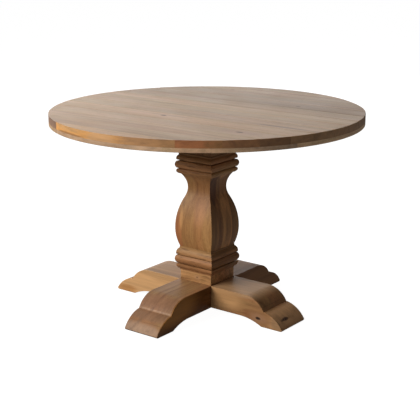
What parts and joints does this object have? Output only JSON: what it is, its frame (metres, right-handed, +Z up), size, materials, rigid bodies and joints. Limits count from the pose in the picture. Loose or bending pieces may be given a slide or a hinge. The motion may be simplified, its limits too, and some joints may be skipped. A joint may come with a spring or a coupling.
{
  "type": "round pedestal table",
  "caption": "Round solid-wood dining table with an edge-glued top, a square vase-shaped column between stepped mouldings, and crossed, arched feet with scrolled toes.",
  "frame": {"origin": "on the floor under the column's centre, at the centre of the box's lower face", "axes": "+Z is up, +X runs along the top's boards, and the feet point along +X, -X, +Y and -Y"},
  "size_m": [1.188, 1.188, 0.78],
  "materials": {
    "top_wood": "matte clear lacquer on brown solid wood",
    "rim_wood": "matte clear lacquer on brown solid wood",
    "column_wood": "satin lacquer on warm brown solid wood",
    "moulding_wood": "satin lacquer on warm brown solid wood",
    "foot_wood": "satin lacquer on brown laminated wood",
    "hidden_wood": "sanded and sealed, without gloss",
    "steel": "zinc plated",
    "nylon": "dark moulded nylon"
  },
  "bodies": {
    "root": {"bearer_across": "hidden_wood", "bearer_along": "hidden_wood", "bearer_screw_1": "steel", "bearer_screw_2": "steel", "bearer_screw_3": "steel", "bearer_screw_4": "steel", "capital_block": "column_wood", "cleat_left": "hidden_wood", "cleat_right": "hidden_wood", "cleat_screw_1": "steel", "cleat_screw_2": "steel", "cleat_screw_3": "steel", "cleat_screw_4": "steel", "column_plank_back": "column_wood", "column_plank_front": "column_wood", "column_plank_middle": "column_wood", "foot_beam_across": "foot_wood", "foot_beam_along": "foot_wood", "glide_back": "nylon", "glide_front": "nylon", "glide_left": "nylon", "glide_right": "nylon", "lower_moulding_back": "moulding_wood", "lower_moulding_front": "moulding_wood", "lower_moulding_left": "moulding_wood", "lower_moulding_right": "moulding_wood", "plinth_block": "moulding_wood", "rim_segment_1": "rim_wood", "rim_segment_2": "rim_wood", "rim_segment_3": "rim_wood", "rim_segment_4": "rim_wood", "rim_segment_5": "rim_wood", "rim_segment_6": "rim_wood", "rim_segment_7": "rim_wood", "rim_segment_8": "rim_wood", "tie_rod": "steel", "tie_rod_nut_lower": "steel", "tie_rod_nut_upper": "steel", "tie_rod_washer_lower": "steel", "tie_rod_washer_upper": "steel", "top_board_01": "top_wood", "top_board_02": "top_wood", "top_board_03": "top_wood", "top_board_04": "top_wood", "top_board_05": "top_wood", "top_board_06": "top_wood", "top_board_07": "top_wood", "top_board_08": "top_wood", "top_board_09": "top_wood", "top_board_10": "top_wood", "top_board_11": "top_wood", "top_board_12": "top_wood", "top_board_13": "top_wood", "upper_moulding_back": "moulding_wood", "upper_moulding_front": "moulding_wood", "upper_moulding_left": "moulding_wood", "upper_moulding_right": "moulding_wood"}
  },
  "joints": []
}
